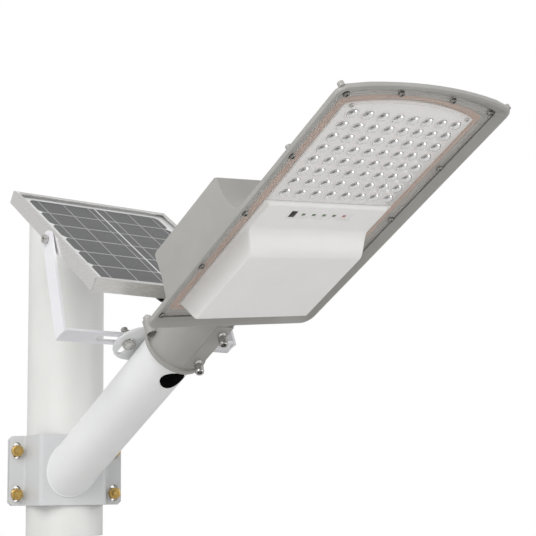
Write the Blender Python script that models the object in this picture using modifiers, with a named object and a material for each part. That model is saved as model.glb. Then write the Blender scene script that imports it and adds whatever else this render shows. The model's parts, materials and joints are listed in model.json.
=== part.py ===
"""Solar street lamp: a lamp head and a tilting solar panel on a steel arm, clamped to a pole section.

Metres, +Z up. The origin is the centre of the pole's lower end, and the arm points to -Y and up.
"""

from math import atan, cos, pi, radians, sin, sqrt, tan

import bmesh
import bpy
from mathutils import Euler, Matrix, Vector

MM = 0.001
GAP = 0.3 * MM

# Pole
POLE_OD = 94 * MM
POLE_WALL = 3 * MM
POLE_LENGTH = 404 * MM

# Pole clamp: two pressed half shells, turned about the pole from the arm's direction
CLAMP_TURN = radians(-17.8)
CLAMP_PLATE = 3.5 * MM
CLAMP_Z = 79.5 * MM
CLAMP_HEIGHT = 85 * MM
CLAMP_FRONT_HALF = 40 * MM
CLAMP_BEND_HALF = 50.6 * MM
CLAMP_HALF_WIDTH = 69.5 * MM
CLAMP_FLANGE_FACE = 8 * MM
CLAMP_CORNER = 4 * MM
CLAMP_BEND_R = 2.5 * MM
CLAMP_BOLT_X = 60.5 * MM
CLAMP_BOLT_DZ = (-28.5 * MM, 24 * MM)
CLAMP_SLOT = (9 * MM, 20 * MM)

# Arm
ARM_RISE = radians(29.55)
ARM_OD = 60 * MM
ARM_WALL = 2.5 * MM
ARM_START_Z = 81.9 * MM
ARM_END = 335 * MM
CABLE_HOLE_AT = 231 * MM
CABLE_HOLE_R = 14 * MM

# Bracket plate on the arm, and the yoke that holds the panel
SADDLE_AT = 213 * MM
SADDLE_T = 3 * MM
SADDLE_HALF_LENGTH = 44 * MM
SADDLE_END_R = 30 * MM
SADDLE_BOLT_X = 29 * MM
SADDLE_SLOT = (9 * MM, 30 * MM)
YOKE_AT = 214.5 * MM
YOKE_BAR = (20 * MM, 3 * MM)
YOKE_HALF_LENGTH = 113.7 * MM
YOKE_SLOT = (8.8 * MM, 136 * MM)
PIVOT_AT = 234.3 * MM
PIVOT_ABOVE_ARM = 150.4 * MM

# Panel
PANEL_TILT = radians(34.65)
PANEL_HALF = (104.6 * MM, 115 * MM)
PANEL_DEPTH = 15.4 * MM
PANEL_TOP = 9.3 * MM
RAIL_WALL = 1.4 * MM
RAIL_LIP = 6 * MM
RAIL_FOOT = 12 * MM
GLASS_T = 2.2 * MM
LAMINATE_T = 0.8 * MM

# Lamp head, measured along the arm (at), across (half widths) and square to the lens face (level)
HEAD_ROLL = radians(7)
HEAD_PITCH = radians(0.75)
HEAD_PIVOT = 300 * MM
HEAD_BACK = 344 * MM
HEAD_FRONT = 697.5 * MM
HEAD_HALF_BACK = 110 * MM
HEAD_HALF_FRONT = 112.8 * MM
HEAD_FRONT_SAG = 12 * MM
RIM_LEVEL = -37.6 * MM
RIM_TOP = -33 * MM
RIM_BORDER = 11 * MM
FLANGE_SEAT = -28 * MM
GROOVE_INSET = 19.7 * MM
GROOVE_LEVEL = -25.5 * MM
SEAT_LEVEL = -23 * MM
BACK_LEVEL = -16 * MM
SHELL_WALL = 3 * MM
BOX_HALF = 106 * MM
BOX_TOP = 16.5 * MM
BOX_BACK = (385 * MM, 395 * MM)
BOX_FRONT = (511 * MM, 526 * MM)
BATTERY_HALF = 92 * MM

# Neck socket
NECK_START = 253 * MM
NECK_TURN = radians(20)
NECK_R = 34 * MM
LIP_R = 36.8 * MM
LIP_LENGTH = 5 * MM
NECK_PAD_X = (-5 * MM, 14 * MM)
NECK_PAD_LEVEL = -34.2 * MM
NECK_PAD_AT = (262 * MM, 336 * MM)
NECK_SCREW_AT = (273 * MM, 323 * MM)
NECK_SCREW_X = 14.8 * MM
NECK_SCREW_LEVELS = (-46 * MM, -28.6 * MM)
NECK_LUG_X = -36.2 * MM
NECK_LUG_AT = 268 * MM
NECK_LUG_LEVELS = (3 * MM, 12 * MM, 20.5 * MM)

# Cover, gasket, lenses
COVER_BOTTOM = -28.8 * MM
COVER_T = 2.6 * MM
FLANGE_BOTTOM = -30.4 * MM
COVER_OPENING = 16.7 * MM
COVER_AHEAD = 3 * MM
SCREW_INSET = 3 * MM
CORNER_SCREW_IN = 3 * MM
LENS_SPLIT = 533 * MM
LEDGE_LEVEL = -31.5 * MM
BULGE_LEVEL = -50.5 * MM
BULGE_HALF = (81.6 * MM, 75.5 * MM)


def clear_scene():
    for obj in list(bpy.data.objects):
        bpy.data.objects.remove(obj, do_unlink=True)


def new_collection(name):
    made = bpy.data.collections.new(name)
    bpy.context.scene.collection.children.link(made)
    return made


clear_scene()
PARTS = new_collection("solar_street_lamp")
CUTTERS = new_collection("cutters")


def material(name, colour, roughness, metallic=0.0, alpha=1.0):
    made = bpy.data.materials.new(name)
    made.use_nodes = True
    shader = made.node_tree.nodes["Principled BSDF"]
    shader.inputs["Base Color"].default_value = (*colour, 1.0)
    shader.inputs["Roughness"].default_value = roughness
    shader.inputs["Metallic"].default_value = metallic
    shader.inputs["Alpha"].default_value = alpha
    return made


WHITE_PAINT = material("white_paint", (0.86, 0.86, 0.84), 0.45)
GREY_CASTING = material("grey_casting", (0.46, 0.46, 0.44), 0.5)
ALUMINIUM = material("anodised_aluminium", (0.72, 0.72, 0.71), 0.35, 1.0)
ZINC = material("yellow_zinc", (0.72, 0.52, 0.2), 0.35, 1.0)
STEEL = material("stainless_steel", (0.66, 0.66, 0.66), 0.3, 1.0)
BLACK_PLASTIC = material("black_plastic", (0.02, 0.02, 0.02), 0.5)
CLEAR_PLASTIC = material("clear_polycarbonate", (0.9, 0.9, 0.9), 0.1, 0.0, 0.4)
FROSTED = material("frosted_polycarbonate", (0.88, 0.88, 0.88), 0.4)
SILICONE = material("orange_silicone", (0.72, 0.38, 0.24), 0.6)
GLASS = material("tempered_glass", (0.9, 0.93, 0.93), 0.05, 0.0, 0.3)
CELLS = material("solar_cells", (0.09, 0.09, 0.1), 0.3)
GREEN_BOARD = material("circuit_board", (0.05, 0.3, 0.12), 0.5)
WHITE_BOARD = material("led_board", (0.9, 0.9, 0.9), 0.4)
BLUE_WRAP = material("battery_wrap", (0.05, 0.12, 0.4), 0.4)


# ---- frames -------------------------------------------------------------------------------------

def frame(name, location, rotation, parent=None):
    """An empty that holds a group of pieces; its axes are the group's own."""
    made = bpy.data.objects.new(name, None)
    PARTS.objects.link(made)
    made.parent = parent
    made.location = location
    made.rotation_euler = rotation
    return made


CLAMP_FACE = POLE_OD / 2 + GAP + CLAMP_PLATE
ARM_ORIGIN = Vector((sin(CLAMP_TURN) * CLAMP_FACE, -cos(CLAMP_TURN) * CLAMP_FACE, ARM_START_Z))

POLE_FRAME = frame("pole_frame", (0, 0, 0), (0, 0, 0))
CLAMP_FRAME = frame("clamp_frame", (0, 0, CLAMP_Z), (0, 0, CLAMP_TURN))
ARM_FRAME = frame("arm_frame", ARM_ORIGIN, (-ARM_RISE, 0, 0))
HEAD_JOINT = frame("head_joint", (0, -HEAD_PIVOT, 0), (HEAD_PITCH, -HEAD_ROLL, 0), ARM_FRAME)
HEAD_FRAME = frame("head_frame", (0, HEAD_PIVOT, 0), (0, 0, 0), HEAD_JOINT)
NECK_FRAME = frame("neck_frame", (0, 0, 0), (0, NECK_TURN - HEAD_ROLL, 0), ARM_FRAME)
PANEL_FRAME = frame(
    "panel_frame",
    (0, -PIVOT_AT, PIVOT_ABOVE_ARM),
    (PANEL_TILT + ARM_RISE, 0, 0),
    ARM_FRAME,
)


# ---- shapes -------------------------------------------------------------------------------------

def link(name, mesh, finish=None, parent=None, location=(0, 0, 0), rotation=(0, 0, 0)):
    """Puts a mesh in the scene: a piece when it has a finish, or else a cutter or a half-made shape."""
    obj = bpy.data.objects.new(name, mesh)
    obj.parent = parent
    obj.location = location
    obj.rotation_euler = rotation
    if finish is None:
        CUTTERS.objects.link(obj)
        obj.hide_render = True
        obj.display_type = "WIRE"
    else:
        PARTS.objects.link(obj)
        mesh.materials.append(finish)
        mesh.shade_smooth()
        mesh.set_sharp_from_angle(angle=radians(35))
    return obj


def mesh_of(name, shape):
    bmesh.ops.recalc_face_normals(shape, faces=shape.faces)
    mesh = bpy.data.meshes.new(name)
    shape.to_mesh(mesh)
    shape.free()
    return mesh


def prism(name, outline, low, high):
    """A flat outline in XY, drawn out from low to high."""
    shape = bmesh.new()
    corners = [shape.verts.new((x, y, low)) for x, y in outline]
    face = shape.faces.new(corners)
    grown = bmesh.ops.extrude_face_region(shape, geom=[face])
    moved = [item for item in grown["geom"] if isinstance(item, bmesh.types.BMVert)]
    bmesh.ops.translate(shape, verts=moved, vec=(0, 0, high - low))
    return mesh_of(name, shape)


def side_prism(name, profile, half_low, half_high=None):
    """A side view in (-Y, Z), drawn out to both sides; a second half width tapers it with height."""
    mesh = prism(name, profile, -1, 1)
    heights = [z for _, z in profile]
    bottom, top = min(heights), max(heights)
    for vertex in mesh.vertices:
        along, height, side = vertex.co
        share = (height - bottom) / (top - bottom)
        half = half_low + (half_high - half_low) * share if half_high else half_low
        vertex.co = (side * half, -along, height)
    shape = bmesh.new()
    shape.from_mesh(mesh)
    bpy.data.meshes.remove(mesh)
    return mesh_of(name, shape)


def block(name, low, high):
    shape = bmesh.new()
    bmesh.ops.create_cube(shape, size=1)
    low, high = Vector(low), Vector(high)
    bmesh.ops.scale(shape, verts=shape.verts, vec=high - low)
    bmesh.ops.translate(shape, verts=shape.verts, vec=(high + low) / 2)
    return mesh_of(name, shape)


def rod(name, radius, low, high, sides=24, axis="Z", centre=(0, 0), end_radius=None):
    """A cylinder, or a cone with another end radius, along one axis."""
    shape = bmesh.new()
    last = radius if end_radius is None else end_radius
    bmesh.ops.create_cone(
        shape, cap_ends=True, segments=sides, radius1=radius, radius2=last, depth=high - low
    )
    bmesh.ops.translate(shape, verts=shape.verts, vec=(0, 0, (high + low) / 2))
    turn = {
        "Z": Matrix.Identity(3),
        "Y": Matrix.Rotation(-pi / 2, 3, "X"),
        "X": Matrix.Rotation(pi / 2, 3, "Y"),
    }[axis]
    bmesh.ops.rotate(shape, verts=shape.verts, matrix=turn, cent=(0, 0, 0))
    offset = {
        "Z": (centre[0], centre[1], 0),
        "Y": (centre[0], 0, centre[1]),
        "X": (0, centre[0], centre[1]),
    }[axis]
    bmesh.ops.translate(shape, verts=shape.verts, vec=offset)
    return mesh_of(name, shape)


def turned(name, profile, finish, steps=32, **place):
    """A closed profile in (radius, height) turned about Z."""
    mesh = bpy.data.meshes.new(name)
    count = len(profile)
    edges = [(i, (i + 1) % count) for i in range(count)]
    mesh.from_pydata([(r, 0, z) for r, z in profile], edges, [])
    obj = link(name, mesh, finish, **place)
    screw = obj.modifiers.new("turn", "SCREW")
    screw.steps = screw.render_steps = steps
    screw.use_merge_vertices = True
    screw.merge_threshold = 1e-5
    return obj


def boolean(obj, other, operation="DIFFERENCE"):
    step = obj.modifiers.new(operation.lower(), "BOOLEAN")
    step.operation = operation
    step.object = other
    return obj


def cut(obj, mesh, **place):
    place.setdefault("parent", obj.parent)
    return boolean(obj, link(mesh.name, mesh, **place))


def add(obj, mesh, **place):
    place.setdefault("parent", obj.parent)
    return boolean(obj, link(mesh.name, mesh, **place), "UNION")


def bevel(obj, width, segments=2, angle=30):
    step = obj.modifiers.new("bevel", "BEVEL")
    step.width = width
    step.segments = segments
    step.limit_method = "ANGLE"
    step.angle_limit = radians(angle)
    return obj


def arc(centre, radius, start, end, steps):
    return [
        (
            centre[0] + radius * cos(start + (end - start) * i / steps),
            centre[1] + radius * sin(start + (end - start) * i / steps),
        )
        for i in range(steps + 1)
    ]


def rounded(corners, steps=3):
    """An outline whose corners (x, y, radius) are turned into arcs."""
    points = []
    for i, (x, y, radius) in enumerate(corners):
        here = Vector((x, y))
        if not radius:
            points.append((x, y))
            continue
        back = (Vector(corners[i - 1][:2]) - here).normalized()
        onward = (Vector(corners[(i + 1) % len(corners)][:2]) - here).normalized()
        half = back.angle(onward) / 2
        middle = here + (back + onward).normalized() * (radius / sin(half))
        first = here + back * (radius / tan(half)) - middle
        last = here + onward * (radius / tan(half)) - middle
        for step in range(steps + 1):
            spoke = first.lerp(last, step / steps).normalized() * radius
            points.append((middle.x + spoke.x, middle.y + spoke.y))
    return points


def slot_outline(width, length, centre=(0, 0), along="Y", steps=6):
    """A slot with round ends."""
    reach = (length - width) / 2
    ends = arc((0, reach), width / 2, 0, pi, steps) + arc((0, -reach), width / 2, pi, 2 * pi, steps)
    if along == "X":
        ends = [(-y, x) for x, y in ends]
    return [(centre[0] + x, centre[1] + y) for x, y in ends]


def head_outline(inset, corner, ahead=0):
    """The head seen square to its lenses, with its arched front edge, drawn in by an inset."""
    back, front = HEAD_BACK + inset, HEAD_FRONT - inset + ahead
    half_back, half_front = HEAD_HALF_BACK - inset, HEAD_HALF_FRONT - inset
    arch = (half_front**2 + HEAD_FRONT_SAG**2) / (2 * HEAD_FRONT_SAG)
    lean = atan((half_front - half_back) / (front - HEAD_FRONT_SAG - back))
    swing = atan(half_front / (arch - HEAD_FRONT_SAG))
    # front arc, trimmed for the two front corners
    trim = corner / arch * 1.1
    top = arc((0, front - arch), arch, pi / 2 - swing + trim, pi / 2 + swing - trim, 12)
    side_x, side_y = half_front - corner, front - HEAD_FRONT_SAG
    right_corner = arc((side_x, side_y - corner * 0.9), corner, 0, radians(65), 4)
    left_corner = [(-x, y) for x, y in reversed(right_corner)]
    foot = max(corner, 3 * MM)
    low_x = half_back - foot
    left_back = arc((-low_x, back + foot), foot, pi - lean, 3 * pi / 2, 4)
    right_back = [(-x, y) for x, y in reversed(left_back)]
    outline = right_corner + top[1:-1] + left_corner + left_back + right_back
    return [(x, -y) for x, y in outline]


# ---- fasteners ----------------------------------------------------------------------------------

def hex_bolt(name, finish, across, head, shank, length, **place):
    """A hex head under the origin and a shank that runs up +Z."""
    radius = across / sqrt(3)
    bolt = link(name, rod(name, radius, -head, 0, 6), finish, **place)
    add(bolt, rod(name + "_shank", shank / 2, -head / 2, length, 12), location=bolt.location,
        rotation=bolt.rotation_euler)
    return bolt


def hex_nut(name, finish, across, height, bore, **place):
    nut = link(name, rod(name, across / sqrt(3), 0, height, 6), finish, **place)
    cut(nut, rod(name + "_bore", bore / 2, -height, 2 * height, 12), location=nut.location,
        rotation=nut.rotation_euler)
    return nut


def cap_screw(name, finish, head_r, head, shank, length, socket_r, **place):
    """A round head with a socket below the origin, and a shank that runs up +Z."""
    deep = head * 0.55
    profile = [
        (0, length),
        (shank / 2, length),
        (shank / 2, 0),
        (head_r, 0),
        (head_r, -head * 0.9),
        (head_r - head * 0.1, -head),
        (socket_r, -head),
        (socket_r, -head + deep),
        (0, -head + deep),
    ]
    return turned(name, profile, finish, 16, **place)


# ---- pole and clamp -----------------------------------------------------------------------------

def make_pole():
    outer, inner = POLE_OD / 2, POLE_OD / 2 - POLE_WALL
    turned(
        "pole_tube",
        [(inner, POLE_LENGTH), (outer, POLE_LENGTH), (outer, 0), (inner, 0)],
        WHITE_PAINT,
        48,
        parent=POLE_FRAME,
    )
    plug = inner - GAP
    top = POLE_LENGTH + 3.5 * MM
    skirt = POLE_LENGTH - 14 * MM
    turned(
        "pole_cap",
        [
            (0, top),
            (outer - 2 * MM, top),
            (outer, top - 1.5 * MM),
            (outer, POLE_LENGTH + GAP),
            (plug, POLE_LENGTH + GAP),
            (plug, skirt),
            (plug - 2 * MM, skirt),
            (plug - 2 * MM, POLE_LENGTH),
            (0, POLE_LENGTH),
        ],
        BLACK_PLASTIC,
        48,
        parent=POLE_FRAME,
    )


def hat_profile(side):
    """One half shell seen from above; its flanges face the other half. side is -1 in front, 1 behind."""
    face, plate = CLAMP_FACE, CLAMP_PLATE
    inner_face, flange = face - plate, CLAMP_FLANGE_FACE
    slope = (CLAMP_BEND_HALF - CLAMP_FRONT_HALF) / (face - flange)
    wall = plate * sqrt(1 + slope**2)
    inside, outside = CLAMP_BEND_R, CLAMP_BEND_R + plate
    half = [
        (CLAMP_FRONT_HALF, face, outside),
        (CLAMP_BEND_HALF, flange, inside),
        (CLAMP_HALF_WIDTH, flange, 0),
        (CLAMP_HALF_WIDTH, flange - plate, 0),
        (CLAMP_BEND_HALF + slope * plate - wall, flange - plate, outside),
        (CLAMP_FRONT_HALF + slope * plate - wall, inner_face, inside),
    ]
    outline = half + [(-x, y, r) for x, y, r in reversed(half)]
    return rounded([(x, side * y, r) for x, y, r in outline])


def make_clamp():
    low, high = -CLAMP_HEIGHT / 2, CLAMP_HEIGHT / 2
    for name, side in (("clamp_front_plate", -1), ("clamp_rear_plate", 1)):
        plate = link(name, prism(name, hat_profile(side), low, high), WHITE_PAINT, parent=CLAMP_FRAME)
        y0, y1 = sorted((side * (CLAMP_FLANGE_FACE + MM), side * (CLAMP_FLANGE_FACE - 2 * CLAMP_PLATE)))
        number = 0
        for x in (-CLAMP_BOLT_X, CLAMP_BOLT_X):
            for dz in CLAMP_BOLT_DZ:
                number += 1
                slot = prism(f"{name}_slot_{number}", slot_outline(*CLAMP_SLOT), y0, y1)
                cut(plate, slot, location=(x, 0, dz + 0.5 * MM), rotation=(-pi / 2, 0, 0))
        for x in (-CLAMP_HALF_WIDTH, CLAMP_HALF_WIDTH):
            for z in (low, high):
                number += 1
                reach = CLAMP_CORNER / sqrt(2)
                corner = block(f"{name}_corner_{number}", (-reach, y0, -reach), (reach, y1, reach))
                cut(plate, corner, location=(x, 0, z), rotation=(0, pi / 4, 0))
    number = 0
    for x in (-CLAMP_BOLT_X, CLAMP_BOLT_X):
        for dz in CLAMP_BOLT_DZ:
            number += 1
            place = dict(parent=CLAMP_FRAME, rotation=(pi / 2, 0, 0))
            hex_bolt(
                f"clamp_bolt_{number}", ZINC, 13 * MM, 5.3 * MM, 8 * MM,
                2 * CLAMP_FLANGE_FACE + 12 * MM,
                location=(x, CLAMP_FLANGE_FACE + GAP, dz), **place,
            )
            hex_nut(
                f"clamp_nut_{number}", ZINC, 13 * MM, 6.5 * MM, 8.6 * MM,
                location=(x, -CLAMP_FLANGE_FACE - GAP, dz), **place,
            )


# ---- arm ----------------------------------------------------------------------------------------

def make_arm():
    outer, inner = ARM_OD / 2, ARM_OD / 2 - ARM_WALL
    start = -60 * MM
    tube = link("arm_tube", rod("arm_tube", outer, -ARM_END, -start, 48, "Y"), WHITE_PAINT, parent=ARM_FRAME)
    cut(tube, rod("arm_bore", inner, -2 * ARM_END, -2 * start, 48, "Y"))
    wall = block("arm_end_cut", (-0.2, -CLAMP_FACE - GAP, -0.2), (0.2, 0.2, 0.2))
    cut(tube, wall, parent=CLAMP_FRAME)
    cut(tube, rod("cable_hole", CABLE_HOLE_R, -2 * outer, 0, 24, "Z", (0, -CABLE_HOLE_AT)))
    at = (0, -CABLE_HOLE_AT)
    grommet = rod("cable_grommet", CABLE_HOLE_R - GAP, -outer - MM, -inner + 4 * MM, 24, "Z", at)
    plug = link("cable_grommet", grommet, BLACK_PLASTIC, parent=ARM_FRAME)
    skin = rod("grommet_skin", outer + 0.6 * MM, -ARM_END, 0, 48, "Y")
    boolean(plug, link("grommet_skin", skin, parent=ARM_FRAME), "INTERSECT")
    low = ARM_OD / 2 + GAP
    outline = slot_outline(2 * SADDLE_END_R, 2 * SADDLE_HALF_LENGTH, along="X", steps=12)
    plate = prism("arm_top_plate", outline, low, low + SADDLE_T)
    saddle = link("arm_top_plate", plate, WHITE_PAINT, parent=ARM_FRAME, location=(0, -SADDLE_AT, 0))
    for side in (-1, 1):
        slot = prism(f"saddle_slot_{side}", slot_outline(*SADDLE_SLOT), 0, 2 * ARM_OD)
        cut(saddle, slot, location=(side * SADDLE_BOLT_X, -SADDLE_AT + 6 * MM, 0))


# ---- yoke and panel -----------------------------------------------------------------------------

def make_yoke():
    width, thick = YOKE_BAR
    base_low = ARM_OD / 2 + SADDLE_T + 2 * GAP
    half = YOKE_HALF_LENGTH
    low_y, high_y = -YOKE_AT - width / 2, -YOKE_AT + width / 2
    base = block("yoke", (-half, low_y, base_low), (half, high_y, base_low + thick))
    yoke = link("yoke", base, WHITE_PAINT, parent=ARM_FRAME)
    leg_top = PANEL_HALF[0] + 2 * GAP
    rise = PIVOT_ABOVE_ARM - base_low
    lean = atan((PIVOT_AT - YOKE_AT) / rise)
    reach = rise / cos(lean)
    for side in (-1, 1):
        outline = arc((0, reach), width / 2, 0, pi, 8) + [(-width / 2, 0), (width / 2, 0)]
        leg = prism(f"yoke_leg_{side}", outline, 0, thick)
        splay = (half - thick - leg_top) / reach
        for vertex in leg.vertices:
            across, up, out = vertex.co
            foot = half - thick - splay * up + out
            vertex.co = (side * foot, -across, up)
        shape = bmesh.new()
        shape.from_mesh(leg)
        leg = mesh_of(f"yoke_leg_{side}", shape)
        add(yoke, leg, location=(0, -YOKE_AT, base_low), rotation=(lean, 0, 0))
    slot = prism("yoke_slot", slot_outline(*YOKE_SLOT, along="X"), 0, 0.1)
    cut(yoke, slot, location=(0, -YOKE_AT, 0))
    for side in (-1, 1):
        hole = rod(f"pivot_hole_{side}", 2.9 * MM, -0.02, 0.02, 16, "X")
        cut(yoke, hole, location=(side * leg_top, -PIVOT_AT, PIVOT_ABOVE_ARM))
        name = "left" if side < 0 else "right"
        place = dict(parent=ARM_FRAME, rotation=(0, 0, 0))
        under = ARM_OD / 2
        hex_bolt(f"yoke_bolt_{name}", STEEL, 13 * MM, 5.3 * MM, 8 * MM, 20 * MM,
                 location=(side * SADDLE_BOLT_X, -YOKE_AT, under), **place)
        hex_nut(f"yoke_nut_{name}", STEEL, 13 * MM, 6.5 * MM, 8.6 * MM,
                location=(side * SADDLE_BOLT_X, -YOKE_AT, base_low + thick + GAP), **place)


def rail_profile():
    """An extrusion's section: distance in from the outer face, and height from the top face."""
    lip, foot, wall, deep = RAIL_LIP, RAIL_FOOT, RAIL_WALL, PANEL_DEPTH
    return [(0, 0), (lip, 0), (lip, -wall), (wall, -wall), (wall, -deep + wall),
            (foot, -deep + wall), (foot, -deep), (0, -deep)]


def make_rail(name, half_length, half_across, turn):
    """A mitred rail: its section drawn out along X, each end moved in by its distance from the face."""
    half_length -= GAP / 2
    rail = prism(name, rail_profile(), -1, 1)
    for vertex in rail.vertices:
        inward, height, end = vertex.co
        vertex.co = (end * (half_length - inward), -half_across + inward, height)
    shape = bmesh.new()
    shape.from_mesh(rail)
    link(name, mesh_of(name, shape), ALUMINIUM, parent=PANEL_FRAME,
         location=(0, 0, PANEL_TOP), rotation=(0, 0, turn))


def make_panel():
    half_x, half_y = PANEL_HALF
    make_rail("panel_rail_lower", half_x, half_y, 0)
    make_rail("panel_rail_upper", half_x, half_y, pi)
    make_rail("panel_rail_right", half_y, half_x, pi / 2)
    make_rail("panel_rail_left", half_y, half_x, -pi / 2)
    edge = RAIL_WALL + GAP
    top = PANEL_TOP - RAIL_WALL - GAP
    low = top - GLASS_T
    x, y = half_x - edge, half_y - edge
    glass = block("panel_glass", (-x, -y, low), (x, y, top))
    link("panel_glass", glass, GLASS, parent=PANEL_FRAME)
    top, low = low - GAP, low - GAP - LAMINATE_T
    cells = block("panel_laminate", (-x, -y, low), (x, y, top))
    link("panel_laminate", cells, CELLS, parent=PANEL_FRAME)
    box_top = low - GAP
    box_low = -22 * MM
    box_y = (-72 * MM, -30 * MM)
    shape = block("junction_box", (-28 * MM, box_y[0], box_low), (28 * MM, box_y[1], box_top))
    box = link("junction_box", shape, BLACK_PLASTIC, parent=PANEL_FRAME)
    bevel(box, 1.5 * MM)
    gland = link("junction_gland", rod("junction_gland", 5 * MM, -20 * MM, 0, 16, "Y", end_radius=6.5 * MM),
                 BLACK_PLASTIC, parent=PANEL_FRAME, location=(0, box_y[0] - GAP, box_low + 6.5 * MM))
    cut(gland, rod("gland_bore", 2.8 * MM, -30 * MM, -4 * MM, 12, "Y"), location=gland.location)
    for side in (-1, 1):
        name = "left" if side < 0 else "right"
        out = half_x + 2 * GAP + YOKE_BAR[1] + 3 * GAP
        turn = (0, -side * pi / 2, 0)
        for rail in ("panel_rail_left", "panel_rail_right"):
            if rail.endswith(name):
                cut(bpy.data.objects[rail], rod(f"rail_hole_{name}", 2.8 * MM, -0.01, 0.01, 16, "X"),
                    parent=PANEL_FRAME, location=(side * half_x, 0, 0))
        cap_screw(f"pivot_bolt_{name}", STEEL, 5 * MM, 4 * MM, 5 * MM, 15 * MM, 2.2 * MM,
                  parent=PANEL_FRAME, location=(side * out, 0, 0), rotation=turn)
        hex_nut(f"pivot_nut_{name}", STEEL, 8 * MM, 4 * MM, 5.6 * MM, parent=PANEL_FRAME,
                location=(side * (half_x - RAIL_WALL - GAP), 0, 0), rotation=turn)


# ---- lamp head ----------------------------------------------------------------------------------

def layers(name, rows):
    """A solid through outlines with equal counts of points, given upwards as (inset, corner, level)."""
    shape = bmesh.new()
    rings = []
    for inset, corner, level in rows:
        rings.append([shape.verts.new((x, y, level)) for x, y in head_outline(inset, corner)])
    count = len(rings[0])
    for low, high in zip(rings, rings[1:]):
        for i in range(count):
            j = (i + 1) % count
            shape.faces.new([low[i], low[j], high[j], high[i]])
    shape.faces.new(rings[0])
    shape.faces.new(rings[-1])
    return mesh_of(name, shape)


def screw_places():
    """Cover screws: five along each side, and two across the front between the corners."""
    back, front = HEAD_BACK + RIM_BORDER + SCREW_INSET, HEAD_FRONT - HEAD_FRONT_SAG - RIM_BORDER - 2 * MM
    places = []
    for step in range(5):
        at = back + (front - back) * step / 4
        share = (at - HEAD_BACK) / (HEAD_FRONT - HEAD_BACK)
        half = HEAD_HALF_BACK + (HEAD_HALF_FRONT - HEAD_HALF_BACK) * share - RIM_BORDER - SCREW_INSET - MM
        half -= CORNER_SCREW_IN if step == 4 else 0
        places += [(-half, at), (half, at)]
    places += [(-34 * MM, front + 8.4 * MM), (34 * MM, front + 8.4 * MM)]
    return places


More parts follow.
